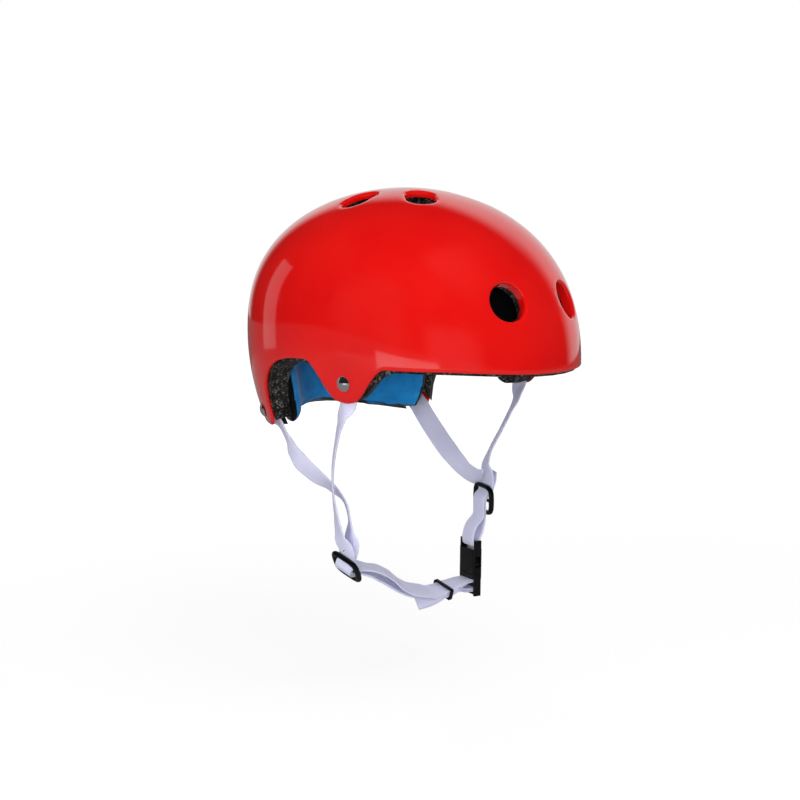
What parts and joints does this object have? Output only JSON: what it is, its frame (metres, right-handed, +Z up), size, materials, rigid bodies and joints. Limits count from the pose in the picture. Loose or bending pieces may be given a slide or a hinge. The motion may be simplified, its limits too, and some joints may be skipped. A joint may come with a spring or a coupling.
{
  "type": "sport helmet",
  "caption": "Hard-shell sport helmet with round vents, foam liner, comfort pads, webbing straps, strap adjusters and a side-release buckle.",
  "frame": {"origin": "centre of the head opening, level with the front brim, where the helmet sits on a head", "axes": "+X to the wearer's front, +Y to the wearer's left, +Z up"},
  "size_m": [0.2809, 0.223, 0.3373],
  "materials": {
    "shell": "glossy",
    "foam": "matte",
    "pad": "soft",
    "hook": "matte",
    "metal": "polished",
    "webbing": "matte",
    "buckle": "satin"
  },
  "bodies": {
    "helmet": {"outer_shell": "shell", "foam_liner": "foam", "front_pad": "pad", "rear_pad": "pad", "side_pad_left": "pad", "side_pad_right": "pad", "crown_pad": "pad", "hook_patches": "hook", "side_rivets": "metal", "rear_rivets": "metal", "rivet_washers": "metal", "left_strap": "webbing", "front_strap_right": "webbing", "rear_strap_right": "webbing", "buckle_socket": "buckle"},
    "slider_left": {"slider_left": "buckle"},
    "slider_right": {"slider_right": "buckle"},
    "buckle_plug": {"buckle_plug": "buckle"},
    "prong_front": {"prong_front": "buckle"},
    "prong_rear": {"prong_rear": "buckle"},
    "strap_keeper": {"strap_keeper": "buckle"}
  },
  "joints": [
    {"name": "buckle_release", "type": "slide", "parent": "helmet", "child": "buckle_plug", "axis": [0, 0, -1], "range_m": [0, 0.022], "deforming": ["front_strap_right", "rear_strap_right", "prong_front", "prong_rear"]},
    {"name": "prong_squeeze", "type": "hinge", "parent": "buckle_plug", "child": "prong_front", "pos_m": [0.02931, 0.05641, -0.1779], "axis": [-0.2756, -0.9613, 0], "range_deg": [0, 10], "stiffness_Nm_per_rad": 0.1},
    {"name": "prong_squeeze_rear", "type": "hinge", "parent": "buckle_plug", "child": "prong_rear", "pos_m": [0.01469, 0.06059, -0.1779], "axis": [0.2756, 0.9613, 0], "range_deg": [0, 10], "stiffness_Nm_per_rad": 0.1},
    {"name": "adjuster_right_slide", "type": "slide", "parent": "helmet", "child": "slider_right", "axis": [0.3396, -0.5876, 0.7344], "range_m": [-0.008, 0.008], "deforming": ["front_strap_right", "rear_strap_right"]},
    {"name": "adjuster_left_slide", "type": "slide", "parent": "helmet", "child": "slider_left", "axis": [0.0655, -0.0939, 0.9934], "range_m": [-0.008, 0.008], "deforming": ["left_strap"]},
    {"name": "keeper_slide", "type": "slide", "parent": "helmet", "child": "strap_keeper", "axis": [0.0398, 0.9943, 0.0994], "range_m": [-0.008, 0.008], "deforming": ["front_strap_right", "rear_strap_right"]}
  ]
}
